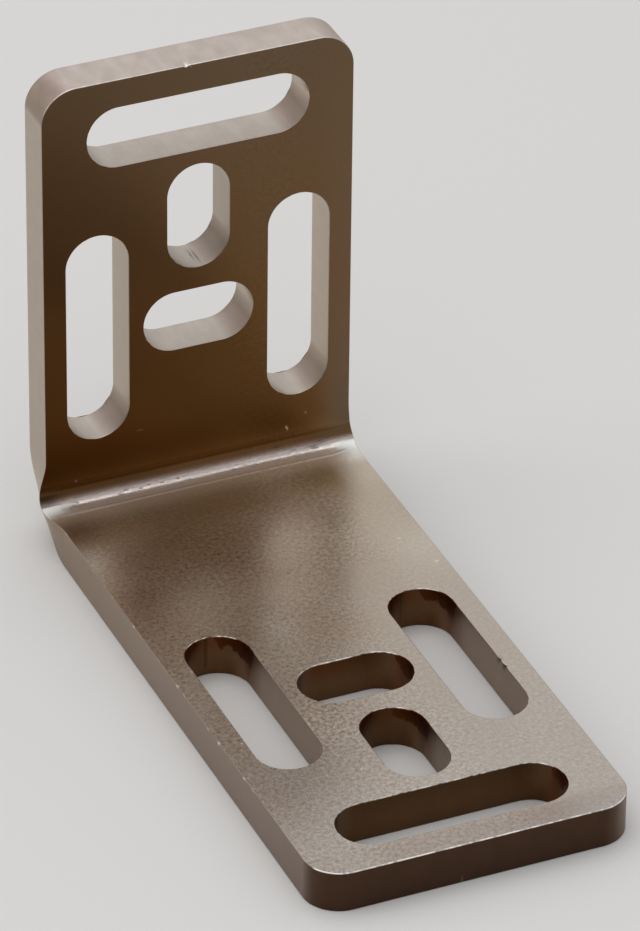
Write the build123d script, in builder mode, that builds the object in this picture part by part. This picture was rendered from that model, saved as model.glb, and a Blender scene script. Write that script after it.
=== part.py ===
"""Slotted angle bracket: one strip of heavy steel plate, cut flat and then bent once to 90 degrees.

The base leaf lies on the floor and runs toward -Y, and the upright leaf stands at the back, at +Y.
X is across the width, and the origin is at the middle of the footprint, on the floor. Millimetres.
Both leaves carry the same five slots, set out from their free ends: one across the end, a short one
along the leaf, a short one across it, and a long one down each side of that.
"""
import os
from math import cos, radians, sin, sqrt

from build123d import *

# Plate
plate_width = 45.0
plate_thickness = 6.0
base_length = 99.0
upright_height = 70.5
corner_radius = 5.0

# Slots for M8 bolts, with lengths over their round ends
slot_width = 9.0
end_slot_length = 32.0
lengthwise_slot_length = 16.0
crosswise_slot_length = 16.0
side_slot_length = 32.0

# Webs left between the slots, from the leaf's free end toward the bend, and beside its edges
end_web = 4.25
lengthwise_web = 2.25
crosswise_web = 3.4
edge_web = 3.3

# Bend: half the plate's thickness inside, and the plate keeps its thickness round it
inner_bend_radius = 3.0

# Upset edges: in the bend the squeezed inside swells past the plate's edges and the stretched
# outside draws in. Both die away this far past the ends of the outer radius.
edge_swell = 0.7
edge_draw = 1.2
edge_runout = 4.0
section_count = 11

# Slot centres: how far they lie from the free end, and how far the side slots lie from the middle
end_slot_inset = end_web + slot_width / 2
lengthwise_slot_inset = end_web + slot_width + lengthwise_web + lengthwise_slot_length / 2
crosswise_slot_inset = lengthwise_slot_inset + (lengthwise_slot_length + slot_width) / 2 + crosswise_web
side_slot_offset = (plate_width - slot_width) / 2 - edge_web

# Frame, and where the bend ends on each leaf
outer_bend_radius = inner_bend_radius + plate_thickness
bend_reach = outer_bend_radius + edge_runout
front = -base_length / 2
back = base_length / 2
upright_front = back - plate_thickness
bend_front = back - bend_reach

# Radii of the metal from the bend's hub, the line where the ends of the bend meet
inner_end_radius = bend_reach - plate_thickness
inner_mid_radius = sqrt(2) * inner_end_radius - (sqrt(2) - 1) * inner_bend_radius
outer_mid_radius = sqrt(2) * bend_reach - (sqrt(2) - 1) * outer_bend_radius
section_start = inner_end_radius / 2
section_end = sqrt(2) * bend_reach


def half_width(radius, angle):
    """Half of the plate's width at this radius from the hub and this angle down from the upright."""
    pinch = sin(radians(2 * angle))
    inner_radius = inner_end_radius + (inner_mid_radius - inner_end_radius) * pinch**4
    depth = (radius - inner_radius) / (outer_mid_radius - inner_mid_radius)
    return plate_width / 2 + edge_swell * pinch**3 * (1 - depth) - edge_draw * pinch**2 * depth


# Space that the bend may fill: trapezium sections that fan round the hub from upright to base
with BuildPart() as bend_envelope:
    for step in range(section_count):
        angle = 90 * step / (section_count - 1)
        outward = Vector(0, cos(radians(angle)), -sin(radians(angle)))
        start_half = half_width(section_start, angle)
        end_half = half_width(section_end, angle)
        across_section = outward.cross(Vector(1, 0, 0))
        section = Plane(origin=(0, bend_front, bend_reach), x_dir=outward, z_dir=across_section)
        with BuildSketch(section):
            with BuildLine():
                Polyline(
                    (section_start, -start_half),
                    (section_end, -end_half),
                    (section_end, end_half),
                    (section_start, start_half),
                    close=True,
                )
            make_face()
    loft()

# Faces that the leaves' slots are cut from: origin at the middle of the free end, +Y to the bend
base_underside = Plane(origin=(0, front, 0), x_dir=(-1, 0, 0), z_dir=(0, 0, -1))
upright_rear = Plane(origin=(0, back, upright_height), x_dir=(1, 0, 0), z_dir=(0, 1, 0))

with BuildPart() as bracket:
    # Bend with its upset edges, out of a strip wide enough for the swelling
    with BuildSketch(Plane.YZ) as side_view:
        with BuildLine():
            Polyline(
                (front, 0),
                (back, 0),
                (back, upright_height),
                (upright_front, upright_height),
                (upright_front, plate_thickness),
                (front, plate_thickness),
                close=True,
            )
        make_face()
        corners = side_view.vertices()
        fillet(corners.sort_by_distance((back, 0, 0))[0], outer_bend_radius)
        fillet(corners.sort_by_distance((upright_front, plate_thickness, 0))[0], inner_bend_radius)
    extrude(amount=plate_width / 2 + edge_swell, both=True)
    add(bend_envelope.part, mode=Mode.INTERSECT)

    # Flat leaves
    with BuildSketch(Plane.YZ):
        with BuildLine():
            Polyline(
                (front, 0),
                (bend_front, 0),
                (bend_front, plate_thickness),
                (front, plate_thickness),
                close=True,
            )
        make_face()
        with BuildLine():
            Polyline(
                (back, bend_reach),
                (back, upright_height),
                (upright_front, upright_height),
                (upright_front, bend_reach),
                close=True,
            )
        make_face()
    extrude(amount=plate_width / 2, both=True)

    # Rounded corners at both free ends
    fillet(bracket.edges().filter_by(Axis.Z).group_by(Axis.Y)[0], corner_radius)
    fillet(bracket.edges().filter_by(Axis.Y).group_by(Axis.Z)[-1], corner_radius)

    # The same five slots in each leaf
    side_slot_places = [(side * side_slot_offset, crosswise_slot_inset) for side in (-1, 1)]
    for leaf_face in (base_underside, upright_rear):
        with BuildSketch(leaf_face):
            with Locations((0, end_slot_inset)):
                SlotOverall(end_slot_length, slot_width)
            with Locations((0, lengthwise_slot_inset)):
                SlotOverall(lengthwise_slot_length, slot_width, rotation=90)
            with Locations((0, crosswise_slot_inset)):
                SlotOverall(crosswise_slot_length, slot_width)
            with Locations(side_slot_places):
                SlotOverall(side_slot_length, slot_width, rotation=90)
        extrude(amount=-plate_thickness, mode=Mode.SUBTRACT)

os.makedirs("parts", exist_ok=True)
bracket.part.label = "bracket"
export_step(bracket.part, "parts/bracket.step")
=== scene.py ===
"""Mounting bracket: flat bar with five slots in each leaf, bent to a right angle and plated."""
import math
import random

import bmesh
import bpy
import numpy as np
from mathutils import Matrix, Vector, noise
from mathutils.geometry import delaunay_2d_cdt


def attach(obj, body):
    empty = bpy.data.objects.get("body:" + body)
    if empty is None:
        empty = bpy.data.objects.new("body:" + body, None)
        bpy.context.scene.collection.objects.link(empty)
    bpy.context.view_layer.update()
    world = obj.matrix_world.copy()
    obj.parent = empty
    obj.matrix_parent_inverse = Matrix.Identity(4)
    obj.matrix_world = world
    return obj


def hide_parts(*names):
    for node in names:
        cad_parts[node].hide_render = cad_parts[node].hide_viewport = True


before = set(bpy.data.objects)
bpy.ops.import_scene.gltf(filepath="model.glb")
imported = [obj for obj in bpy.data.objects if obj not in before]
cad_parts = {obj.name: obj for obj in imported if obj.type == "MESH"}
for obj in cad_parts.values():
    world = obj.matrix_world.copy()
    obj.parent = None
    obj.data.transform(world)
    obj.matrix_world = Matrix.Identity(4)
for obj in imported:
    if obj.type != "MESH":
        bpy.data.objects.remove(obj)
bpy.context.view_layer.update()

# Sizes of the part in millimetres, as in its source. The mesh is built in millimetres and
# written in metres.
MM = 0.001
LEFT, RIGHT = -1, 1
plate_width, plate_thickness = 45.0, 6.0
base_length, upright_height = 99.0, 70.5
corner_radius = 5.0
slot_width = 9.0
long_slot, short_slot = 32.0, 16.0
end_slot_inset, lengthwise_slot_inset, crosswise_slot_inset = 8.75, 23.5, 39.4
side_slot_offset = 14.7
inner_bend_radius = 3.0
outer_bend_radius = inner_bend_radius + plate_thickness
edge_runout = 4.0
bend_reach = outer_bend_radius + edge_runout
half_plate, half_base = plate_width / 2, base_length / 2
upright_front = half_base - plate_thickness
bend_front = half_base - bend_reach

# This bend came out uneven: its inner face swells more at the left edge than at the right.
edge_swell = {LEFT: 1.2, RIGHT: 0.3}
swell_power = {LEFT: 2, RIGHT: 3}
edge_draw = {LEFT: 1.0, RIGHT: 1.2}

# The blank is laid out flat: x across, s along (0 where the base leaf ends and the bend begins)
# and w down from the inner face. Along the bend s is measured on the inner face.
inner_run = bend_reach - plate_thickness - inner_bend_radius
fillet_length = inner_bend_radius * math.pi / 2
bend_length = 2 * inner_run + fillet_length
base_end = -(base_length - bend_reach)
upright_end = bend_length + upright_height - bend_reach
fillet_start, fillet_end = inner_run, inner_run + fillet_length

# Rounding of the rims on the inner and the outer side, and the rows of points round each
rim_radius, back_rim_radius = 0.1, 0.2
rim_steps, back_rim_steps = 4, 4

# Marks of the bending tool: a raised line before the crease, a fine groove in it, a step behind it.
# The line bows toward the base leaf's end and turns back up at its right end.
front_line, crease_line, step_line = fillet_start - 0.05, fillet_start + 1.86, fillet_end - 1.1
front_line_curve = -0.0005
front_line_turn, front_line_turns_at = 0.5, (18, 21.5)
line_width, groove_width, step_width = 0.26, 0.1, 0.25
line_height, groove_depth, step_height = 0.05, 0.012, 0.015
step_run = 0.55

# The crease's ends: where on x and over how far they are filled in and rolled over, and the height,
# place on s and reach of each
end_start, end_run = {LEFT: 17.5, RIGHT: 18.5}, {LEFT: 5.0, RIGHT: 4.0}
fill_height, fill_place, fill_reach = 0.16, fillet_start + 1.3, 1.9
fill_full = {LEFT: 0.6, RIGHT: 0.7}
roll_depth, roll_power = {LEFT: 0.22, RIGHT: 0.16}, {LEFT: 1.5, RIGHT: 1.6}
roll_place = {LEFT: fillet_start + 0.9, RIGHT: fillet_start + 1.1}
roll_reach = {LEFT: 2.4, RIGHT: 2.2}
bend_margin = 1

# Burr along the inner rims, what each row of the rim takes of it, and how far it leans out
burr_size, front_burr_size = 0.002, 0.008
burr_grain, fine_burr_grain, fine_burr_share = 0.8, 0.3, 0.5
front_rim_reach, front_burr_reach = 1.2, 2.6
rim_lifts = (0.0, 0.8, 1.0, 0.3)
burr_lean = 0.5

# Wear and painted highlight of the front rim, the slots' far rims and the upright's top, and how much
# rounder rims grow
front_mean, front_change, front_grain, front_limits = 0.75, 1.1, 1.3, (0.4, 1.3)
slot_wear_and_highlight, top_wear_and_highlight = 0.7, 0.4
worn_growth, left_growth = 0.3, 0.12

# Seeds of the noises
burr_seed, fine_burr_seed, front_seed = 1, 2, 10
wear_seed, fine_wear_seed, chip_seed = 5, 6, 7
pit_seed, upset_seed = 8, 9
seed_shift = 17.3

# Spacing of the mesh's points: along the plate's sides, corners and ends and round the slots, and
# the least there is
side_spacing, corner_spacing = 0.5, 0.3
top_spacing, front_spacing = 0.2, 0.15
slot_curve_spacing, slot_side_spacing = 0.25, 0.35
least_spacing = 0.02
# Through the bend and its crease, and at the tool's lines as (place, reach, spacing)
bend_spacing, crease_spacing, crease_margin = 0.45, 0.13, 0.3
tool_lines = ((front_line, 0.7, 0.09), (crease_line, 0.3, 0.06), (step_line, 0.6, 0.08))
least_row_gap, last_row_gap = 0.055, 0.05
# Rows down a wall between its rims
wall_rows = (0.16, 0.5, 1.2, 2.2, 3.2, 4.4, 5.3)
# Inside the faces: columns beside the plate's edges, a patch over each mark, and the leaves' rows
edge_columns = np.arange(0.3, 3.6, 0.15)
edge_column_gap = 0.1
mark_patch = np.linspace(-2, 2, 7)
leaf_side_margin, leaf_bend_margin = 0.8, 0.9
merge_distance = 1e-7


def on_base(y):
    """s of a place on the base leaf."""
    return y - bend_front


def on_upright(z):
    """s of a height on the upright."""
    return z - bend_reach + bend_length


def smooth(x, low, high):
    """0 below low, 1 above high, smooth between."""
    t = np.clip((x - low) / (high - low), 0, 1)
    return t * t * (3 - 2 * t)


def bell(x, width):
    """1 at 0, falling off smoothly over width."""
    return np.exp(-((x / width) ** 2))


def rough(x, y, scale, seed):
    """Smooth noise from -1 to 1 at each point, its lumps scale millimetres across."""
    shift = seed_shift * seed
    return np.array([noise.noise((a / scale + shift, b / scale, 0)) for a, b in zip(x, y)])


# The bend
def inner_profile(s):
    """(y, z) of the inner face at s, within the bend."""
    turn = np.clip((s - fillet_start) / inner_bend_radius, 0, math.pi / 2)
    y = bend_front + np.minimum(s, fillet_start) + inner_bend_radius * np.sin(turn)
    z = plate_thickness + inner_bend_radius * (1 - np.cos(turn)) + np.maximum(s - fillet_end, 0)
    return y, z


def outer_radius_at(angle):
    """Distance from the hub of the bend to the outer face along a ray at angle."""
    straight = np.minimum(bend_reach / np.maximum(np.cos(angle), 1e-9),
                          bend_reach / np.maximum(np.sin(angle), 1e-9))
    along = edge_runout * (np.cos(angle) + np.sin(angle))
    root = along**2 - 2 * edge_runout**2 + outer_bend_radius**2
    curved = along + np.sqrt(np.maximum(root, 0))
    tangent = math.atan2(edge_runout, bend_reach)
    return np.where((angle > tangent) & (angle < math.pi / 2 - tangent), curved, straight)


def half_width(radius, angle, side):
    """Half the plate's width in the bend: it swells at the inner face and draws in outside."""
    pinch = np.sin(2 * angle)
    inner_end = bend_reach - plate_thickness
    inner_mid = math.sqrt(2) * inner_end - (math.sqrt(2) - 1) * inner_bend_radius
    outer_mid = math.sqrt(2) * bend_reach - (math.sqrt(2) - 1) * outer_bend_radius
    inner = inner_end + (inner_mid - inner_end) * pinch**4
    depth = (radius - inner) / (outer_mid - inner_mid)
    swell = edge_swell[side] * pinch ** swell_power[side]
    return half_plate + swell * (1 - depth) - edge_draw[side] * pinch**2 * depth


def bent(blank):
    """The blank's points (x, s, w) folded up to row-frame points in millimetres."""
    x, s, w = blank.T
    y, z = inner_profile(np.clip(s, 0, bend_length))
    angle = np.arctan2(bend_reach - z, y - bend_front)
    inner = np.hypot(y - bend_front, bend_reach - z)
    radius = inner + (outer_radius_at(angle) - inner) * w / plate_thickness
    widened = np.where(x < 0, half_width(radius, angle, LEFT), half_width(radius, angle, RIGHT))
    in_bend = np.stack([x * widened / half_plate, bend_front + radius * np.cos(angle),
                        bend_reach - radius * np.sin(angle)], 1)
    on_the_base = np.stack([x, bend_front + s, plate_thickness - w], 1)
    on_the_upright = np.stack([x, upright_front + w, bend_reach + s - bend_length], 1)
    return np.where((s <= 0)[:, None], on_the_base,
                    np.where((s >= bend_length)[:, None], on_the_upright, in_bend))


# Outlines of the blank
def slots():
    """Each slot as (centre x, centre s, half length of its middle line, lengthwise)."""
    straight_long, straight_short = (long_slot - slot_width) / 2, (short_slot - slot_width) / 2
    found = []
    for end, inward in ((base_end, 1), (upright_end, -1)):
        found.append((0, end + inward * end_slot_inset, straight_long, False))
        found.append((0, end + inward * lengthwise_slot_inset, straight_short, True))
        found.append((0, end + inward * crosswise_slot_inset, straight_short, False))
        for side in (LEFT, RIGHT):
            found.append((side * side_slot_offset, end + inward * crosswise_slot_inset,
                          straight_long, True))
    return found


# Numbers of the loops: the outline, then each leaf's slots in the order of slots()
OUTLINE, BASE_END, BASE_LENGTHWISE, BASE_CROSSWISE, BASE_LEFT, BASE_RIGHT = range(6)
UPRIGHT_END, UPRIGHT_LENGTHWISE, UPRIGHT_LEFT = 6, 7, 9


def slot_distance(slot, p):
    """Distance of the points p (n, 2) from the slot's wall, positive in the metal."""
    cx, cs, half, lengthwise = slot
    q = p - np.array([cx, cs])
    run = 1 if lengthwise else 0
    q[:, run] -= np.clip(q[:, run], -half, half)
    return np.hypot(q[:, 0], q[:, 1]) - slot_width / 2


def outline_distance(p):
    """Distance of the points p (n, 2) from the blank's outline, positive in the metal."""
    middle = (base_end + upright_end) / 2
    reach = np.array([half_plate, (upright_end - base_end) / 2]) - corner_radius
    q = np.abs(p - np.array([0, middle])) - reach
    outside = np.hypot(np.maximum(q[:, 0], 0), np.maximum(q[:, 1], 0))
    return corner_radius - outside - np.minimum(np.max(q, axis=1), 0)


def spaced(start, stop, step):
    """Points from start towards stop, stop left out, about step apart."""
    count = max(1, round(abs(stop - start) / step))
    return np.linspace(start, stop, count + 1)[:-1]


def bend_rows():
    """Stations along s through the bend, close together at the crease and the tool's lines."""
    rows = list(np.arange(0, bend_length, bend_spacing))
    rows += list(np.arange(fillet_start - crease_margin, fillet_end + crease_margin, crease_spacing))
    for line, reach, spacing in tool_lines:
        rows += list(np.arange(line - reach, line + reach, spacing))
    kept = [0.0]
    for r in sorted(rows):
        if r - kept[-1] > least_row_gap and r < bend_length - last_row_gap:
            kept.append(r)
    return np.array(kept + [bend_length])


def outline_loop():
    """Points and outward directions round the blank's outline."""
    w, r = half_plate, corner_radius
    along = np.concatenate([spaced(base_end + r, 0, side_spacing), bend_rows(),
                            -spaced(-bend_length, -(upright_end - r), side_spacing)[1:],
                            [upright_end - r]])
    along = np.unique(along)
    points, ways = [], []

    def corner(cx, cs, start):
        for t in spaced(start, start + math.pi / 2, corner_spacing / r):
            way = (math.cos(t), math.sin(t))
            points.append((cx + r * way[0], cs + r * way[1]))
            ways.append(way)

    def edge(places, way):
        points.extend(places)
        ways.extend([way] * len(places))

    edge([(w, s) for s in along], (1, 0))
    corner(w - r, upright_end - r, 0)
    edge([(x, upright_end) for x in spaced(w - r, -(w - r), top_spacing)], (0, 1))
    corner(-(w - r), upright_end - r, math.pi / 2)
    edge([(-w, s) for s in along[::-1]], (-1, 0))
    corner(-(w - r), base_end + r, math.pi)
    edge([(x, base_end) for x in spaced(-(w - r), w - r, front_spacing)], (0, -1))
    corner(w - r, base_end + r, 3 * math.pi / 2)
    return tidy_loop(points, ways)


def slot_loop(slot):
    """Points round a slot and the directions from them into the slot."""
    cx, cs, half, lengthwise = slot
    r = slot_width / 2
    points, ways = [], []
    for side, start in ((1, -math.pi / 2), (-1, math.pi / 2)):
        for t in spaced(start, start + math.pi, slot_curve_spacing / r):
            points.append((side * half + r * math.cos(t), r * math.sin(t)))
            ways.append((-math.cos(t), -math.sin(t)))
        for x in spaced(side * half, -side * half, slot_side_spacing):
            points.append((x, side * r))
            ways.append((0, -side))
    if lengthwise:
        points = [(-y, x) for x, y in points]
        ways = [(-y, x) for x, y in ways]
    points = [(cx + x, cs + y) for x, y in points]
    return tidy_loop(points, ways)


def tidy_loop(points, ways):
    """The loop without points that fall on their neighbour."""
    points, ways = np.array(points, float), np.array(ways, float)
    gap = np.hypot(*(points - np.roll(points, 1, axis=0)).T)
    keep = gap > least_spacing
    return points[keep], ways[keep]


def wall_profile():
    """(inset into the metal, depth w) of each row down a wall, from the inner face to the outer."""
    profile = []
    for t in np.linspace(0, math.pi / 2, rim_steps):
        profile.append((rim_radius * (1 - math.sin(t)), rim_radius * (1 - math.cos(t))))
    for w in wall_rows:
        profile.append((0, w))
    for t in np.linspace(math.pi / 2, 0, back_rim_steps):
        profile.append((back_rim_radius * (1 - math.sin(t)),
                        plate_thickness - back_rim_radius * (1 - math.cos(t))))
    return profile


# Marks: centre (x, s, w), reach along x, s and w, how far the metal is pushed in x, s and w, and
# tint, where plus shows bare metal, partly real and partly a painted glint, and minus darkens.
rim_marks = [
    ((-1.8, upright_end, 0.0), (0.28, 0.3, 0.45), (0, -0.28, 0.12), 0.0),
    ((-1.35, upright_end, 0.0), (0.1, 0.15, 0.2), (0, 0.08, -0.03), 0.7),
    ((15.95, on_upright(62.47), 0.0), (0.25, 0.45, 0.5), (0.22, 0, 0.1), 0.0),
    ((19.2, on_base(-13.5), 0.0), (0.35, 0.3, 0.4), (0.2, 0, 0.1), -0.5),
    ((19.2, on_base(-15.2), 0.0), (0.3, 0.35, 0.5), (0.25, 0, 0.12), -0.5),
    ((-18.75, base_end, 0.0), (0.25, 0.4, 0.35), (0, 0.2, 0.12), -0.6),
    ((-2.4, base_end, 5.6), (0.12, 0.2, 0.25), (0, 0.1, 0), 0.25),
]
rim_marks += [((-22.5, on_base(y), 0.0), (0.2, 0.13, 0.16), (0.04, 0, 0.02), 0.8)
              for y in (-17.0, -28.2, -3.0)]
rim_marks += [((-19.2, on_base(-0.7), 0.0), (0.25, 0.3, 0.3), (-0.05, 0, 0.02), 1.0)]
wall_scratches = [
    ((0.12, upright_end - 31.5, 3.2), (0.12, 0.3, 1.3), (0, 0, 0), -0.6),
    ((0.62, upright_end - 31.5, 2.6), (0.12, 0.3, 1.6), (0, 0, 0), -0.65),
]
# On the inner faces: x, s, reach in x and s, depth, tint
face_marks = [
    (3.9, on_base(25.45), 0.17, 0.2, -0.03, 0.7),
    (7.1, on_base(25.0), 0.13, 0.15, 0.03, -0.4),
    (1.5, on_base(15.8), 0.14, 0.18, 0.03, -0.35),
    (18.7, on_base(17.7), 0.35, 0.15, -0.03, 0.5),
    (21.1, on_base(10.75), 0.25, 0.15, -0.04, 0.9),
    (-19.75, on_base(-18.1), 0.16, 0.2, -0.03, 0.9),
    (-7.6, on_base(-29.2), 0.13, 0.16, -0.03, 0.8),
    (13.05, on_upright(9.95), 0.11, 0.2, 0.03, 0.9),
    (13.2, on_upright(9.65), 0.11, 0.2, 0.03, 0.8),
    (16.0, on_upright(11.7), 0.14, 0.14, 0.03, 0.3),
    (-8.6, on_upright(14.9), 0.4, 0.12, 0.015, 0.12),
    (-17.4, on_upright(8.9), 0.16, 0.14, 0.03, 0.22),
    (-17.4, on_upright(8.5), 0.16, 0.14, 0.03, -0.4),
]
# Short nicks along the crease: number, places on x and s, lengths, widths, depths and painted shade,
# darker the deeper
nick_draw, nick_count, nick_span = 4, 36, (-20, 20.5)
nick_place, nick_scatter = crease_line + 0.1, 0.3
short_nicks, long_nicks, long_from = (0.12, 0.3), (0.3, 0.8), 8
nick_widths, nick_depths, nick_shade = (0.06, 0.1), (0.015, 0.04), 12
large_nicks = [
    (-10.7, nick_place, 0.2, 0.17, 0.08, -0.7), (-3.5, crease_line, 0.14, 0.14, 0.08, -0.7),
    (16.4, crease_line + 0.15, 0.9, 0.09, 0.06, -0.6),
    (17.9, crease_line + 0.4, 0.7, 0.08, 0.05, -0.6),
]
# Thicker stretches of the front rim's burr: x, half length, height
front_burr = [
    (-20.2, 1.5, 0.11), (-17.2, 0.8, 0.05), (-15.2, 0.25, 0.07), (-13.6, 0.25, 0.05),
    (-6.5, 0.5, 0.06), (1.5, 0.4, 0.05), (6.7, 0.4, 0.06), (11.3, 0.5, 0.06), (13.1, 0.2, 0.08),
]


def crease_nicks():
    """Short nicks along the crease, longest towards the right end, darkened as painted shade by their
    depth.
    """
    random.seed(nick_draw)
    made = list(large_nicks)
    for _ in range(nick_count):
        x = random.uniform(*nick_span)
        length = random.uniform(*(short_nicks if x < long_from else long_nicks))
        s = random.gauss(nick_place, nick_scatter)
        depth = random.uniform(*nick_depths)
        width = random.uniform(*nick_widths)
        made.append((x, s, length, width, depth, -nick_shade * depth))
    return made


marks = rim_marks + wall_scratches
marks += [((x, s, 0), (rx, rs, 1), (0, 0, depth), tint)
          for x, s, rx, rs, depth, tint in face_marks + crease_nicks()]


# Assembling the mesh
ROLLED, CUT = 0, 1


class Blank:
    """Vertices (x, s, w) of the flat blank and the faces between them."""

    def __init__(self):
        self.points, self.ways, self.steps, self.loops = [], [], [], []
        self.faces, self.kinds = [], []

    def add(self, x, s, w, way=(0, 0), step=-1, loop=-1):
        """A vertex. way points out of a wall, step is its row down the wall."""
        self.points.append((x, s, w))
        self.ways.append(way)
        self.steps.append(step)
        self.loops.append(loop)
        return len(self.points) - 1


def add_wall(blank, points, ways, loop):
    """A wall ring round a loop. Returns the vertex numbers of its first and last row."""
    rows = []
    for step, (inset, w) in enumerate(wall_profile()):
        place = points - ways * inset
        rows.append([blank.add(p[0], p[1], w, tuple(n), step, loop) for p, n in zip(place, ways)])
    count = len(points)
    for row, below in zip(rows, rows[1:]):
        for i in range(count):
            j = (i + 1) % count
            blank.faces.append((row[i], row[j], below[j], below[i]))
            blank.kinds.append(CUT)
    return rows[0], rows[-1]


def face_grid(w, columns, leaf_step):
    """Places for vertices inside one side of the blank, leaf_step apart on the leaves."""
    across = np.linspace(-half_plate, half_plate, columns + 1)
    places = []
    if w == 0:
        near = half_plate - edge_columns
        across = np.concatenate([across[np.abs(across) < near.min() - edge_column_gap], near, -near])
        for cx, cs, rx, rs, _, _ in face_marks:
            for u in mark_patch:
                places += [(cx + u * rx, cs + v * rs) for v in mark_patch]
    for s in bend_rows():
        places += [(x, s) for x in across]
    xs = np.arange(-half_plate + leaf_side_margin, half_plate, leaf_step)
    upright_run = upright_end - bend_length
    for s in np.concatenate([-np.arange(leaf_bend_margin, -base_end, leaf_step),
                             bend_length + np.arange(leaf_bend_margin, upright_run, leaf_step)]):
        places += [(x, s) for x in xs]
    return np.array(places)


def add_face(blank, rings, w, columns, leaf_step, margin):
    """Triangles over one side of the blank, with points at least margin inside the loops' rims."""
    spots, edges, owner = [], [], []
    for ring in rings:
        start = len(spots)
        for v in ring:
            spots.append(Vector(blank.points[v][:2]))
            owner.append(v)
        edges += [(start + i, start + (i + 1) % len(ring)) for i in range(len(ring))]
    inside = face_grid(w, columns, leaf_step)
    for x, s in inside[metal_depth(inside) > margin]:
        owner.append(blank.add(x, s, w))
        spots.append(Vector((x, s)))
    verts, _, faces, origins, _, _ = delaunay_2d_cdt(spots, edges, [], 0, merge_distance, True)
    names = [owner[o[0]] for o in origins]
    triangles = np.array(faces)
    centres = np.array([(v[0], v[1]) for v in verts])[triangles].mean(1)
    for triangle in triangles[metal_depth(centres) > rim_radius / 2]:
        blank.faces.append(tuple(names[i] for i in triangle))
        blank.kinds.append(ROLLED)


def metal_depth(p):
    """Distance of the points p (n, 2) from the nearest outline, positive in the metal."""
    return np.min([outline_distance(p)] + [slot_distance(slot, p.copy()) for slot in slots()], axis=0)


def build_blank():
    """The whole blank: walls round every loop, then the inner and the outer side."""
    blank = Blank()
    tops, bottoms = [], []
    for loop, (points, ways) in enumerate([outline_loop()] + [slot_loop(s) for s in slots()]):
        top, bottom = add_wall(blank, points, ways, loop)
        tops.append(top)
        bottoms.append(bottom)
    add_face(blank, tops, w=0.0, columns=120, leaf_step=1.6, margin=0.25)
    add_face(blank, bottoms, w=plate_thickness, columns=40, leaf_step=2.2, margin=0.5)
    return blank


# The blank's vertices: place (x, s, w), way out of the wall, row down the wall and loop
blank = build_blank()
flat, ways = np.array(blank.points), np.array(blank.ways)
steps, loops = np.array(blank.steps), np.array(blank.loops)
on_rim = (steps >= 0) & (steps < rim_steps)
on_wall = (steps > 0) & (steps < len(wall_profile()) - 1)
inner_side = flat[:, 2] < plate_thickness / 2
# Degrees that the inner face has turned up at each vertex
turn = np.degrees((flat[:, 1] - fillet_start) / inner_bend_radius)


# Relief
def front_line_at(x):
    """Where the raised line before the crease runs."""
    return front_line + front_line_curve * x**2 + front_line_turn * smooth(x, *front_line_turns_at)


def crease_relief(x, s):
    """Height of the inner face over the plain bend, in millimetres."""
    to_edge = half_plate - np.abs(x)
    front = bell(s - front_line_at(x), line_width) * smooth(to_edge, 0.9, 2.5) * smooth(x, -20, -15)
    groove = bell(s - crease_line, groove_width) * smooth(to_edge, 1.5, 3.5)
    step = bell(s - step_line - step_run, step_width) - bell(s - step_line, step_width)
    return line_height * front - groove_depth * groove + step_height * step * smooth(to_edge, 1.0, 3.0)


def end_relief(x, s):
    """Height of the inner face at the plate's edges beside the crease: filled, then rolled over."""
    height = np.zeros(len(x))
    for side in (LEFT, RIGHT):
        out = np.clip((side * x - end_start[side]) / end_run[side], 0, 1)
        height += fill_height * smooth(out, 0, fill_full[side]) * bell(s - fill_place, fill_reach)
        rolled = roll_depth[side] * out ** roll_power[side]
        height -= rolled * bell(s - roll_place[side], roll_reach[side])
    return height


def burr_height(x, s):
    """How far the metal stands up along the inner rims."""
    ragged = rough(x, s, burr_grain, burr_seed)
    ragged += fine_burr_share * rough(x, s, fine_burr_grain, fine_burr_seed)
    height = burr_size * (1 + ragged)
    front = np.where(s < base_end + front_rim_reach, front_burr_size * (1 + ragged), 0)
    for place, half, tall in front_burr:
        thick = np.where(s < base_end + front_burr_reach, tall * bell(x - place, half), 0)
        front = np.maximum(front, thick)
    return np.maximum(height, front)


burr = np.zeros(len(flat))
burr[on_rim] = burr_height(flat[on_rim, 0], flat[on_rim, 1])
rim_inset = np.where(on_rim, np.array([inset for inset, _ in wall_profile()])[steps], 0)
outline_rim = on_rim & (loops == OUTLINE)
base_slot_rim = on_rim & (loops > OUTLINE) & (loops < UPRIGHT_END)
at_front = outline_rim & (ways[:, 1] < -0.3)
at_left = outline_rim & (ways[:, 0] < -0.9) & (flat[:, 1] < 0)
# How worn each rim is and how much painted highlight it gets, by the way it faces
front_wear_and_highlight = front_change * rough(*flat[at_front, :2].T, front_grain, front_seed)
uneven_front = np.ones(len(flat))
uneven_front[at_front] = np.clip(front_mean + front_wear_and_highlight, *front_limits)
worn_and_highlit_rim = (uneven_front * at_front * smooth(-ways[:, 1], 0.3, 0.7)
            + slot_wear_and_highlight * base_slot_rim * smooth(-ways[:, 1], 0.35, 0.75)
            + top_wear_and_highlight * outline_rim * smooth(ways[:, 1], 0.2, 0.6))
rim_growth = worn_growth * worn_and_highlit_rim + left_growth * at_left


def mark_strength(mark, x, s, w):
    """How strongly a mark acts at each point, 1 in its middle."""
    (cx, cs, cw), (rx, rs, rw), _, _ = mark
    return np.exp(-(((x - cx) / rx) ** 2 + ((s - cs) / rs) ** 2 + ((w - cw) / rw) ** 2))


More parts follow.
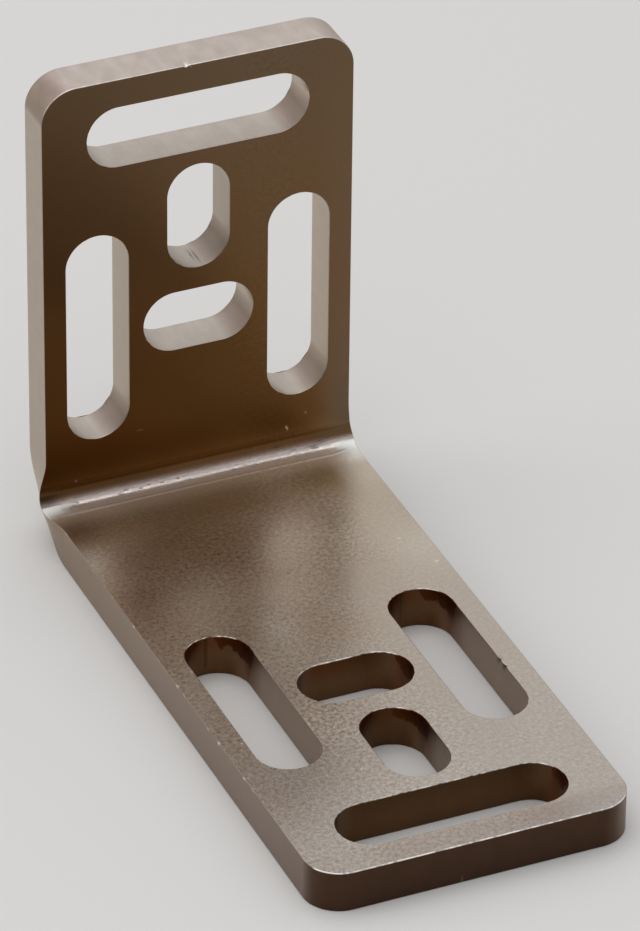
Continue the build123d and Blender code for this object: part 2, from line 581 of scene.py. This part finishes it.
def shaped():
    """The blank's points with the crease, burrs and marks worked in."""
    x, s, w = flat.T
    top = np.clip(1 - w / plate_thickness, 0, 1)
    near_bend = (s > -bend_margin) & (s < bend_length + bend_margin)
    w = w - np.where(near_bend, crease_relief(x, s) + end_relief(x, s), 0) * top**2
    lift = burr * np.array(rim_lifts)[np.clip(steps, 0, rim_steps - 1)]
    w = w + rim_growth * flat[:, 2] - lift
    out = lift * burr_lean - rim_growth * rim_inset
    x, s = x + ways[:, 0] * out, s + ways[:, 1] * out
    for mark in marks:
        pull = mark_strength(mark, *flat.T)
        push = mark[2]
        x, s, w = x + pull * push[0], s + pull * push[1], w + pull * push[2]
    return np.stack([x, s, w], 1)


solid = bent(shaped())


def build_mesh():
    """The mesh in metres, smooth but for the edges between rolled faces and cut walls."""
    mesh = bpy.data.meshes.new("bracket_mesh")
    mesh.from_pydata((solid * MM).tolist(), [], blank.faces)
    mesh.update()
    mesh.polygons.foreach_set("material_index", blank.kinds)
    bm = bmesh.new()
    bm.from_mesh(mesh)
    bmesh.ops.recalc_face_normals(bm, faces=bm.faces)
    for e in bm.edges:
        e.smooth = len({f.material_index for f in e.link_faces}) == 1
    for f in bm.faces:
        f.smooth = True
    bm.to_mesh(mesh)
    bm.free()
    return mesh


mesh = build_mesh()


def add_object(name, data):
    """A new object in the scene."""
    obj = bpy.data.objects.new(name, data)
    bpy.context.scene.collection.objects.link(obj)
    return obj


# Colour of the plating at each vertex, with painted light and shade
def blend(first, second, share):
    """Colours between first and second, with one share for each vertex."""
    share = np.asarray(share, float)[:, None]
    return np.asarray(first) * (1 - share) + np.asarray(second) * share


def ramp(values, *stops):
    """Colours at values, from (value, colour) stops."""
    places, colours = zip(*stops)
    return np.stack([np.interp(values, places, channel) for channel in zip(*colours)], 1)


grey = (0.56, 0.49, 0.42)
# Bare metal, used for worn rims and for painted highlights and glints
bare_metal_and_highlight, black, untinted = (0.93, 0.89, 0.85), (0, 0, 0), (1, 1, 1)
# Tints of the base leaf: tarnish with painted shade and reflection, the foot's painted shade and
# reflection, warmth
tarnish_and_shade_tint, foot_shade_tint, warm_tint = (0.68, 0.58, 0.52), (0.74, 0.63, 0.46), (1.0, 0.96, 0.90)
# Browner and paler spots of the base leaf, partly tarnish and partly painted shade and reflection: x,
# y, reach in x and y, strength
tarnish_and_shade_spots = [
    (-22, 18, 6, 8, 0.75), (-18.5, 25.5, 2.5, 3, 0.45), (-20, 4, 6, 6, 0.25),
    (-22, -17, 4, 4, 0.15), (-21, -32, 5, 7, 0.3), (-12, 25, 4, 3.5, -0.45), (-5, 24, 4, 4, -0.2),
    (-7, 8, 4, 4.5, 0.3), (-9.5, 5, 2.5, 2, 0.3), (-7, -15, 3, 3, 0.25), (1, 16, 5, 5, 0.45),
    (1, 4, 4, 6, 0.4), (0, 31, 6, 3, -0.3), (4, 22, 3, 4, 0.15), (11, 22.5, 2.2, 3, -0.6),
    (8, 28, 5, 6, 0.35), (21, 15, 4, 6, -0.45), (16, 36.5, 3, 2.5, 0.35), (-21.5, 36, 4, 3.5, 0.9),
    (-22, 29, 3, 3, -0.6), (21, 36, 3, 5, -0.5), (13, -47.5, 10, 2.6, 0.35),
    (-17, 28.5, 2.5, 2.5, 0.4), (-16.5, 22, 2.5, 2.5, -0.35), (-5.5, 5, 2.2, 2.5, -0.4),
    (-10, 28.5, 4.5, 3, 0.3), (0, 32, 12, 4, 0.2),
]
# Warmer and cooler spots, in the same way
warm_spots = [
    (-9, 29, 8, 6, 2.3), (-18, 12, 5, 12, 0.9), (-19, -29, 6, 6, -0.8), (-1, 24, 3, 4, -0.6),
    (5, 0, 6, 3, 0.8), (-21.5, 36, 3, 2.5, -1.5),
]
# Levels of both overall, and in the strip along the front rim
tarnish_and_shade_level, tarnish_and_shade_leftward, strip_tarnish, strip_fade = 0.14, 0.26, 0.55, 0.7
front_cooling, strip_cooling = 0.5, 1.1
# Pale paint on the crease's upset ends, left and right: partly bare metal, partly painted highlight
upset_highlight_left, upset_highlight_right = (0.74, 0.72, 0.70), (0.90, 0.91, 0.87)
# The upright's inner face, brown and darkened as painted shade, from its foot to its top, on its left,
# its right and its right edge
shaded_brown_heights = (bend_length + 1, on_upright(35), on_upright(70))
shaded_brown_left = ((0.133, 0.060, 0.016), (0.158, 0.079, 0.030), (0.131, 0.080, 0.043))
shaded_brown_right = ((0.180, 0.096, 0.036), (0.170, 0.092, 0.037), (0.153, 0.100, 0.060))
shaded_brown_edge = ((0.185, 0.120, 0.070), (0.180, 0.108, 0.060), (0.160, 0.104, 0.058))
# Painted shade at the crease's right edge; then painted highlight and shade across the crease, by how
# many degrees the face has turned up: pale low in the turn, shade deepening above it
crease_edge_shade = (0.129, 0.077, 0.036)
crease_light_tones = (
    (-20, (0.74, 0.64, 0.54)), (4, (0.79, 0.68, 0.59)), (14, (0.60, 0.51, 0.46)),
    (20, (0.57, 0.48, 0.42)), (26, (0.70, 0.62, 0.575)), (30, (0.70, 0.64, 0.61)),
    (34, (0.55, 0.48, 0.45)), (40, (0.51, 0.43, 0.40)), (45, (0.32, 0.25, 0.21)),
    (50, (0.197, 0.131, 0.101)), (55, (0.138, 0.079, 0.049)), (60, (0.118, 0.058, 0.025)),
    (72, (0.122, 0.057, 0.018)),
)
# Shade on the foot's ends and above the crease, and the painted highlight on the raised line before
# it, partly rubbed bare metal
foot_ends_shade, turn_shade, left_turn_shade = 0.14, 0.24, 0.45
line_highlight_level, line_highlight_right, line_highlight_left, line_highlight_reach = 0.32, 0.4, 0.3, 0.34
# Cut walls, painted light and shade by where they face: the base leaf's sides by y, the ends by
# degrees from the left side to the right, and the slots by degrees from the far end's wall to the
# right-hand wall
side_light_tones = (
    (-44.5, (0.21, 0.152, 0.12)), (-40, (0.235, 0.168, 0.132)), (-30, (0.262, 0.194, 0.154)),
    (-10, (0.275, 0.208, 0.165)), (5, (0.30, 0.225, 0.172)), (33, (0.32, 0.235, 0.172)),
)
front_light_tones = (
    (0, (0.215, 0.162, 0.132)), (10, (0.147, 0.102, 0.077)), (25, (0.086, 0.05, 0.031)),
    (55, (0.068, 0.036, 0.022)), (92, (0.069, 0.0375, 0.0232)), (110, (0.10, 0.06, 0.038)),
    (125, (0.165, 0.108, 0.078)), (150, (0.160, 0.110, 0.080)), (180, (0.215, 0.162, 0.132)),
)
top_light_tones = (
    (0, (0.47, 0.395, 0.32)), (8, (0.335, 0.264, 0.209)), (30, (0.352, 0.275, 0.218)),
    (50, (0.39, 0.30, 0.25)), (70, (0.497, 0.395, 0.352)), (85, (0.645, 0.56, 0.505)),
    (95, (0.645, 0.56, 0.505)), (130, (0.45, 0.37, 0.31)), (180, (0.47, 0.395, 0.32)),
)
upright_slot_light_tones = (
    (-90, (0.40, 0.33, 0.28)), (-40, (0.50, 0.43, 0.37)), (-10, (0.60, 0.535, 0.475)),
    (5, (0.60, 0.535, 0.475)), (20, (0.475, 0.39, 0.34)), (40, (0.344, 0.271, 0.228)),
    (62, (0.288, 0.222, 0.173)), (82, (0.42, 0.34, 0.27)), (90, (0.52, 0.44, 0.35)),
)
base_slot_light_tones = (
    (-30, (0.160, 0.085, 0.040)), (15, (0.147, 0.076, 0.034)), (40, (0.18, 0.10, 0.05)),
    (60, (0.245, 0.14, 0.072)), (88, (0.28, 0.19, 0.125)), (90, (0.30, 0.22, 0.165)),
)
# Painted light level of each slot's walls
slot_painted_light = {BASE_END: 0.74, BASE_LENGTHWISE: 0.80, BASE_CROSSWISE: 0.90, BASE_RIGHT: 0.93,
                   UPRIGHT_LENGTHWISE: 0.86, UPRIGHT_LEFT: 0.96}
# Painted shadow in the base leaf's slots: its tints deep down, past the right curve and by the far
# rim, and its strengths
slot_shadow_tint, slot_past_shadow_tint = (0.63, 0.48, 0.38), (0.64, 0.39, 0.25)
slot_upper_tint = (1.0, 0.72, 0.52)
deep_shadow, upper_shadow = 0.75, 0.9
# Stains in the base leaf's slots: colours and how far down the wall they reach, left and right
stain_left, stain_right = (0.165, 0.032, 0.003), (0.096, 0.0255, 0.005)
stain_reach = {BASE_END: (0.5, 2.4), BASE_LENGTHWISE: (2.6, 3.0), BASE_CROSSWISE: (0.6, 3.2),
               BASE_LEFT: (2.4, 3.0), BASE_RIGHT: (2.4, 2.8)}
stain_off_rim = 4
# Dark lines down the far walls of the side slots: x, half width, how dark and how far down
wall_lines = {BASE_LEFT: -14.7, BASE_RIGHT: 13.65}
wall_line_half, wall_line_tone, wall_line_depth = 0.16, 0.65, 4.6

# The burnish begins and ends at these degrees of turn, the satin band before it at these s
polish_start, polish_stop = (12, 24), (44, 62)
band_start = (-14, fillet_start - 0.5)
# The crease's upset ends: how ragged they are, where on x, and at what degrees
upset_ragged, upset_grain, upset_turn_ragged = 0.9, 0.9, 14
upset_from_left, upset_from_right = (18.0, 20.4), (18.6, 20.8)
upset_start_left, upset_start_right, upset_whole, upset_stop = -16, -90, 12, (28, 38)
# Pits: their level and its change, patch size and limits, and what places add or take away
pit_level, pit_change, pit_patch, pit_limits = 0.8, 0.35, 7.0, (0.2, 1.1)
slot_pits, calm_loss, back_pits = 0.6, 0.7, 0.4
left_bend_loss, bend_loss = 0.3, 0.6
# Bare metal on the rims, partly wear and partly painted highlight: patches and specks as (grain,
# strength), its level, the left rim's chips, and the height from which the burr is bare
wear_highlight_patches, wear_highlight_specks = (2.5, 0.45), (0.55, 0.65)
wear_highlight_mean, wear_highlight_at_front, wear_highlight_change = 0.7, 0.4, 1.6
chip_grain, chip_range, chip_strength = 0.8, (0.3, 0.6), 0.7
bare_burr, burr_brightness = 0.03, 8


# Below, the limits of smooth and bell are places in millimetres, or degrees of a turn
def polish():
    """Where the bending tool burnished the crease."""
    band = smooth(turn, *polish_start) * (1 - smooth(turn, *polish_stop))
    return band * (1 - end_patch()) * inner_side


def end_patch():
    """The crease's two ends, where the metal is upset; they are painted pale, partly bare metal and
    partly a painted highlight.
    """
    x, s, _ = flat.T
    uneven = upset_ragged * rough(x, s, upset_grain, upset_seed)
    sideways = np.maximum(smooth(uneven - x, *upset_from_left), smooth(uneven + x, *upset_from_right))
    start = np.where(x < 0, upset_start_left, upset_start_right)
    begun = smooth(turn + upset_turn_ragged * uneven, start, upset_whole)
    return sideways * begun * (1 - smooth(turn, *upset_stop)) * inner_side


def brushed():
    """The satin band that the tool left on the base leaf along the bend, 0 to 1."""
    s = flat[:, 1]
    band = smooth(s, *band_start) * (1 - smooth(turn, *polish_start)) * inner_side
    return np.maximum(band, end_patch())


def pitted():
    """Where the plated faces show their fine pits: in patches, and least by the bend and above it."""
    x, s, _ = flat.T
    patches = pit_level + pit_change * rough(x, s, pit_patch, pit_seed)
    between_slots = bell(x + 8.5, 3.5) * bell(s - on_base(-17), 7)
    calm = np.maximum(smooth(x, 4, 10) * (1 - smooth(s, -25, -19)), smooth(x, 13.5, 17))
    calm = np.maximum(calm * (1 - 0.3 * smooth(-s, 47, 55)), 0.15 * smooth(-s, 50, 60))
    by_bend = left_bend_loss * smooth(s, -8, -2) * smooth(-x, -8, -2) + bend_loss * smooth(s, -2, 4)
    inner = np.clip(patches, *pit_limits) + slot_pits * between_slots
    inner *= (1 - calm_loss * calm) * (1 - by_bend)
    return np.where(inner_side, inner, back_pits * patches)


def spotted(level, spots):
    """The level with soft spots added on it."""
    for cx, cy, rx, ry, strength in spots:
        level += strength * bell(solid[:, 0] - cx, rx) * bell(solid[:, 1] - cy, ry)
    return level


def tarnish_and_shade():
    """How far the base leaf's inner face has gone brown and dark: partly tarnish, partly painted shade
    and reflection, most to the left.
    """
    x, y = solid[:, 0], solid[:, 1]
    level = tarnish_and_shade_level + tarnish_and_shade_leftward * smooth(-x, -8, 18)
    level *= smooth(y, -41, -27) * smooth(-x, -17, -13)
    strip = strip_tarnish * smooth(-y, 44.3, 46.3) * (1 - strip_fade * smooth(np.abs(x), 10, 17))
    return spotted(level, tarnish_and_shade_spots) + strip


def warmth():
    """How warm the grey of the base leaf's inner face is, below 0 where it is cooler."""
    x, y = solid[:, 0], solid[:, 1]
    level = spotted(smooth(x, -8, 0) * smooth(y, -6, 24), warm_spots)
    strip = strip_cooling * smooth(-y, 44.5, 48) * smooth(x, -20, 8)
    return level - front_cooling * smooth(-y, 14, 28) - strip


def rolled_paint():
    """Grey, brown with painted shade on the upright's inner face, and pale as a painted highlight
    where the crease is burnished.
    """
    x, s, _ = flat.T
    # The upright's inner face: brown with painted shade
    left, right, edge = (ramp(s, *zip(shaded_brown_heights, tones))
                         for tones in (shaded_brown_left, shaded_brown_right, shaded_brown_edge))
    shaded_brown = blend(blend(left, right, smooth(x, -half_plate, 16)), edge, smooth(x, 16.5, 21))
    # Painted highlight and shade across the crease
    paint = blend(grey, ramp(turn, *crease_light_tones), smooth(turn, -70, -15))
    on_base_leaf = (1 - smooth(turn, 14, 24)) * inner_side
    paint *= blend(untinted, tarnish_and_shade_tint, tarnish_and_shade() * on_base_leaf)
    # Painted shade and reflection of the brown upright on the base leaf's foot by the bend
    foot_shade = bell(s + 1.4, 4.2) * (1 - 0.35 * bell(x - 8, 3)) * smooth(-x, -19, -16.5)
    foot_ends = (smooth(-x, 6, 12) + bell(x - 14, 4)) * bell(s + 0.5, 3)
    paint *= blend(untinted, foot_shade_tint, foot_shade * on_base_leaf)
    paint *= (1 - foot_ends_shade * foot_ends * on_base_leaf)[:, None]
    paint *= blend(untinted, warm_tint, warmth() * on_base_leaf)
    shade = turn_shade * smooth(-x, 0, 10) * bell(turn - 66, 16)
    by_left_edge = smooth(-x, 18.5, 21.5) * smooth(turn, 30, 38) * (1 - smooth(turn, 60, 70))
    shade += left_turn_shade * by_left_edge
    paint *= (1 - shade)[:, None]
    # Painted shade where the crease turns up at its right edge
    paint = blend(paint, crease_edge_shade, smooth(x, 16, 21) * smooth(turn, 46, 58))
    paint = blend(paint, shaded_brown, smooth(turn, 74, 84))
    # Painted highlight on the raised tool line before the crease
    line = line_highlight_level + line_highlight_right * smooth(x, 12, 17) + line_highlight_left * smooth(-x, 12, 17)
    line *= smooth(x, -21.5, -19) * smooth(-x, -21, -18.5)
    line *= bell(s - front_line_at(x), line_highlight_reach) * inner_side
    paint = blend(paint, bare_metal_and_highlight, line)
    paint = blend(paint, blend(upset_highlight_left, upset_highlight_right, smooth(x, -5, 5)), end_patch())
    return blend(paint, grey, ~inner_side)


def facing(first, second):
    """Degrees that the walls face round from one blank direction to another."""
    return np.degrees(np.arctan2(ways @ np.array(second, float), ways @ np.array(first, float)))


# In the base leaf's slots: 0 where the wall faces the leaf's end, 90 where it faces left
slot_turn = facing((0, -1), (-1, 0))


def cut_paint():
    """Each wall's tone by where it faces, as painted light and shade."""
    s, y = flat[:, 1], solid[:, 1]
    straight = np.abs(ways[:, 0]) > 0.9999
    base_round = ramp(np.abs(facing((-1, 0), (0, -1))), *front_light_tones)
    base_outline = np.where(straight[:, None], ramp(y, *side_light_tones), base_round)
    upright_outline = ramp(np.abs(facing((-1, 0), (0, 1))), *top_light_tones)
    outline = blend(base_outline, upright_outline, smooth(s, fillet_start - 1, fillet_end + 1))
    slot = np.where((s > bend_length / 2)[:, None], ramp(facing((0, 1), (-1, 0)), *upright_slot_light_tones),
                    ramp(slot_turn, *base_slot_light_tones))
    for loop, painted_light in slot_painted_light.items():
        slot[loops == loop] *= painted_light
    slot *= slot_shadow()
    return np.where((loops == OUTLINE)[:, None], outline, slot)


def slot_past(loop):
    """How far past its right curve each vertex of a base leaf's slot lies, in millimetres."""
    _, cs, half, lengthwise = slots()[loop - BASE_END]
    return np.maximum(cs + half - flat[:, 1], 0) if lengthwise else np.zeros(len(flat))


def slot_shadow():
    """Painted shadow, browner, in the base leaf's slots: low in the right curve, past it, and by the
    far rim.
    """
    w = flat[:, 2]
    deep = deep_shadow * smooth(w, 2.2, 5) * bell(slot_turn - 45, 22)
    upper = upper_shadow * (1 - smooth(w, 0.8, 3.0)) * bell(slot_turn + 5, 32)
    tint = np.ones((len(w), 3))
    for loop in stain_reach:
        lengthwise = slots()[loop - BASE_END][3]
        if lengthwise:
            past = (1 - smooth(slot_past(loop), 0, 5)) * smooth(slot_turn, 60, 88)
        else:
            past = bell(slot_turn - 72, 22)
        found = blend(untinted, slot_shadow_tint, deep * (1 - past))
        found *= blend(untinted, slot_past_shadow_tint, past)
        found *= blend(untinted, slot_upper_tint, upper * (loop != BASE_END))
        tint = np.where((loops == loop)[:, None], found, tint)
    return tint


def stain_depth():
    """How far down from the inner face the walls are stained, in millimetres."""
    reach = np.full(len(flat), -1.0)
    for loop, (left, right) in stain_reach.items():
        past = slot_past(loop)
        spread = 0.65 * smooth(slot_turn, 8, 30) + 0.35 * smooth(slot_turn, 45, 78)
        if loop in (BASE_END, BASE_CROSSWISE):
            spread = bell(slot_turn - 80, 24)
        curve = left * bell(slot_turn + 45, 26) + right * spread * (1 - smooth(past, 0.3, 1.6))
        reach = np.where(loops == loop, curve - 1 + smooth(curve, 0, 1), reach)
    return reach - stain_off_rim * worn_and_highlit_rim


def rim_wear_and_highlight():
    """Bare bright metal on the inner rims, partly wear and partly painted highlight, most on the front
    rim of the base leaf.
    """
    rim = on_rim & (steps > 0)
    x, s, _ = flat[rim].T
    ragged = np.zeros(len(x))
    for (grain, strength), seed in ((wear_highlight_patches, wear_seed), (wear_highlight_specks, fine_wear_seed)):
        ragged += rough(x, s, grain, seed) * strength
    level = worn_and_highlit_rim[rim] * (wear_highlight_mean + wear_highlight_at_front * at_front[rim] + wear_highlight_change * ragged)
    chips = smooth(rough(x, s, chip_grain, chip_seed), *chip_range)
    level += chip_strength * at_left[rim] * chips
    wear_and_highlight = np.zeros(len(flat))
    wear_and_highlight[rim] = np.clip(level + burr_brightness * np.maximum(burr[rim] - bare_burr, 0), 0, 1)
    return wear_and_highlight


def painted():
    """The colour of every vertex, with wall lines, worn rims with painted highlight, and marks with
    painted glints.
    """
    x, s, w = flat.T
    paint = np.where(on_wall[:, None], cut_paint(), rolled_paint())
    for loop, place in wall_lines.items():
        line = (loops == loop) & (np.abs(x - place) < wall_line_half)
        line &= (ways[:, 1] < 0) & (w < wall_line_depth)
        paint = blend(paint, paint * wall_line_tone, line)
    paint = blend(paint, bare_metal_and_highlight, rim_wear_and_highlight())
    for mark in marks:
        pull, tint = mark_strength(mark, x, s, w), mark[3]
        paint = blend(paint, bare_metal_and_highlight if tint > 0 else black, abs(tint) * pull)
    return paint


def vertex_layer(name, values, kind="FLOAT", field="value"):
    """A mesh attribute with one value for each vertex."""
    layer = mesh.attributes.new(name, kind, "POINT")
    layer.data.foreach_set(field, values.astype(np.float32).ravel())


def colour_layer(name, colours):
    """A mesh attribute with one colour for each vertex."""
    rgba = np.concatenate([colours, np.ones((len(colours), 1))], 1)
    vertex_layer(name, rgba, "FLOAT_COLOR", "color")


vertex_layer("blank", flat, "FLOAT_VECTOR", "vector")
colour_layer("paint", painted())
vertex_layer("polish", polish())
vertex_layer("brushed", brushed())
vertex_layer("pitted", pitted())
vertex_layer("stain_depth", stain_depth())
colour_layer("stain_paint", blend(stain_left, stain_right, smooth(slot_turn, -40, 10)))
bracket = add_object("bracket_plate", mesh)


# Materials
# Sockets of the colour mix, by number because several share a name
FACTOR, FIRST_COLOUR, SECOND_COLOUR, MIXED_COLOUR = 0, 6, 7, 2
# The rolled faces' roughness, what the satin band and the burnish add to it, and both materials'
# grain in metres
satin_roughness, band_roughness, polish_roughness = 0.235, 0.30, -0.04
pit_depth, polish_line_share, cut_line_depth = 0.00002, 0.3, 0.00001
# The stains' ragged border and how much they cover
stain_raggedness, stain_border, stain_cover = 0.6, (-0.35, 0.15), 0.97


class Nodes:
    """Builds one material's nodes. Values are numbers, colours or the sockets of other nodes."""

    def __init__(self, name):
        self.material = bpy.data.materials.new(name)
        self.material.use_nodes = True
        self.tree = self.material.node_tree
        self.tree.nodes.clear()
        self.shader = self.tree.nodes.new("ShaderNodeBsdfPrincipled")
        out = self.tree.nodes.new("ShaderNodeOutputMaterial")
        self.tree.links.new(self.shader.outputs[0], out.inputs[0])

    def put(self, socket, value):
        """Sets a socket to a value, or links it to another node's socket."""
        if isinstance(value, bpy.types.NodeSocket):
            self.tree.links.new(value, socket)
        elif isinstance(value, tuple) and len(value) < len(socket.default_value):
            socket.default_value = (*value, 1)
        else:
            socket.default_value = value

    def surface(self, colour, roughness, metallic):
        """Gives the shader its main inputs."""
        for name, value in (("Base Color", colour), ("Roughness", roughness), ("Metallic", metallic)):
            self.put(self.shader.inputs[name], value)
        return self.material

    def layer(self, name, output="Fac"):
        """One of the mesh's vertex layers."""
        node = self.tree.nodes.new("ShaderNodeAttribute")
        node.attribute_name = name
        return node.outputs[output]

    def grain(self, scale, detail=2.0, roughness=0.5):
        """Noise from 0 to 1. scale is its cells per millimetre along x, s and w of the blank."""
        place = self.tree.nodes.new("ShaderNodeVectorMath")
        place.operation = "MULTIPLY"
        self.put(place.inputs[0], self.layer("blank", "Vector"))
        self.put(place.inputs[1], scale)
        node = self.tree.nodes.new("ShaderNodeTexNoise")
        for name, value in (("Vector", place.outputs[0]), ("Scale", 1.0), ("Detail", detail),
                            ("Roughness", roughness)):
            self.put(node.inputs[name], value)
        return node.outputs["Fac"]

    def ranged(self, value, to_low, to_high, low=0.3, high=0.7):
        """value with low to high, the usual range of noise, mapped to to_low to to_high."""
        node = self.tree.nodes.new("ShaderNodeMapRange")
        for name, number in (("Value", value), ("From Min", low), ("From Max", high),
                             ("To Min", to_low), ("To Max", to_high)):
            self.put(node.inputs[name], number)
        return node.outputs[0]

    def maths(self, operation, first, second, third=0.0):
        """One step of arithmetic."""
        node = self.tree.nodes.new("ShaderNodeMath")
        node.operation = operation
        for socket, value in zip(node.inputs, (first, second, third)):
            self.put(socket, value)
        return node.outputs[0]

    def mixed(self, factor, first, second, blend="MIX"):
        """Colours first and second, mixed or multiplied by factor."""
        node = self.tree.nodes.new("ShaderNodeMix")
        node.data_type = "RGBA"
        node.blend_type = blend
        for socket, value in ((FACTOR, factor), (FIRST_COLOUR, first), (SECOND_COLOUR, second)):
            self.put(node.inputs[socket], value)
        return node.outputs[MIXED_COLOUR]

    def bump(self, height, distance):
        """A bump whose height runs from 0 to 1 times distance in metres."""
        node = self.tree.nodes.new("ShaderNodeBump")
        self.put(node.inputs["Distance"], distance)
        self.put(node.inputs["Height"], height)
        self.put(self.shader.inputs["Normal"], node.outputs[0])

    def blank_axis(self, axis):
        """x, s or w of the blank."""
        node = self.tree.nodes.new("ShaderNodeSeparateXYZ")
        self.put(node.inputs[0], self.layer("blank", "Vector"))
        return node.outputs[axis]


def rolled_material():
    """The plated faces: satin and finely pitted, burnished with fine lines along the crease."""
    nodes = Nodes("plated_rolled")
    fine = nodes.grain((1.75, 1.75, 1.75), 4.0, 0.68)
    lines = nodes.grain((0.7, 6.5, 1.0), 2.0, 0.6)
    pitted, polish, brushed = nodes.layer("pitted"), nodes.layer("polish"), nodes.layer("brushed")
    speckle = nodes.maths("MULTIPLY", pitted, nodes.ranged(fine, -0.40, 0.44))
    lined = nodes.maths("MULTIPLY", polish, nodes.ranged(lines, -0.22, 0.16))
    tone = nodes.maths("ADD", nodes.maths("ADD", speckle, lined), 1.0)
    colour = nodes.mixed(1.0, nodes.layer("paint", "Color"), tone, "MULTIPLY")
    satin = nodes.maths("MULTIPLY_ADD", pitted, nodes.ranged(fine, 0.03, 0.09, 0.36, 0.66),
                        satin_roughness)
    satin = nodes.maths("MULTIPLY_ADD", brushed, band_roughness, satin)
    satin = nodes.maths("MULTIPLY_ADD", polish, polish_roughness, satin)
    burnish = nodes.maths("MULTIPLY", nodes.maths("MULTIPLY", polish, lines), polish_line_share)
    nodes.bump(nodes.maths("ADD", nodes.maths("MULTIPLY", pitted, fine), burnish), pit_depth)
    return nodes.surface(colour, satin, metallic=1.0)


def cut_material():
    """The cut walls: satin with fine lines down the thickness and brown stains in the slots."""
    nodes = Nodes("plated_cut")
    lines, blotches = nodes.grain((4.5, 4.5, 0.18), 2.0, 0.6), nodes.grain((0.5, 0.5, 0.3), 3.0)
    ragged = nodes.grain((0.9, 0.9, 0.7), 3.0, 0.55)
    tone = nodes.maths("MULTIPLY", nodes.ranged(blotches, 0.93, 1.07),
                       nodes.ranged(lines, 0.98, 1.015, 0.35, 0.65))
    colour = nodes.mixed(1.0, nodes.layer("paint", "Color"), tone, "MULTIPLY")
    below = nodes.maths("SUBTRACT", nodes.blank_axis(2), nodes.layer("stain_depth"))
    edge = nodes.maths("MULTIPLY_ADD", nodes.ranged(ragged, -1.0, 1.0), stain_raggedness, below)
    stained = nodes.ranged(edge, stain_cover, 0.0, *stain_border)
    colour = nodes.mixed(stained, colour, nodes.layer("stain_paint", "Color"))
    nodes.bump(lines, cut_line_depth)
    return nodes.surface(colour, nodes.ranged(blotches, 0.34, 0.44), metallic=1.0)


mesh.materials.append(rolled_material())
mesh.materials.append(cut_material())

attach(bracket, "root")
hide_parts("bracket")


# Floor, light and camera, in metres
floor_reach, floor_colour, floor_roughness = 4.0, (0.7, 0.69, 0.68), 0.8
world_level = 0.70
lamp_target = (0, 0, 0.03)
# The camera's sensor and lens in millimetres, its place, its turn in degrees and its clipping
camera_sensor, camera_lens = 36, 271.946
camera_place, camera_turn = (-0.312055, -0.702623, 0.533959), (56.91452, -0.57499, -23.50342)
camera_clip = (0.05, 20)


def floor():
    """The plain pale floor under the bracket."""
    sheet = bpy.data.meshes.new("floor")
    corners = [(x * floor_reach, y * floor_reach, 0) for x, y in ((-1, -1), (1, -1), (1, 1), (-1, 1))]
    sheet.from_pydata(corners, [], [(0, 1, 2, 3)])
    sheet.materials.append(Nodes("floor").surface(floor_colour, floor_roughness, metallic=0.0))
    obj = add_object("floor", sheet)


def softbox(name, place, target, width, height, radiance):
    """A rectangular lamp at place, turned to target. radiance 1 looks white."""
    light = bpy.data.lights.new(name, "AREA")
    light.shape = "RECTANGLE"
    light.size, light.size_y = width, height
    light.energy = radiance * width * height * math.pi
    obj = add_object(name, light)
    obj.location = place
    way = Vector(target) - Vector(place)
    obj.rotation_euler = way.to_track_quat("-Z", "Y").to_euler()


floor()
softbox("overhead", (-0.1, 0.1, 0.8), lamp_target, width=0.79, height=0.66, radiance=1.1)
softbox("left", (-0.8, 0.3, 0.4), lamp_target, width=0.5, height=0.5, radiance=1.2)

world = bpy.data.worlds.new("studio")
world.use_nodes = True
world.node_tree.nodes["Background"].inputs[0].default_value = (*[world_level] * 3, 1)
bpy.context.scene.world = world

camera_data = bpy.data.cameras.new("camera")
camera_data.sensor_width, camera_data.lens = camera_sensor, camera_lens
camera_data.clip_start, camera_data.clip_end = camera_clip
camera = add_object("camera", camera_data)
camera.location = camera_place
camera.rotation_euler = [math.radians(a) for a in camera_turn]
bpy.context.scene.camera = camera
bpy.context.scene.view_settings.view_transform = "Standard"
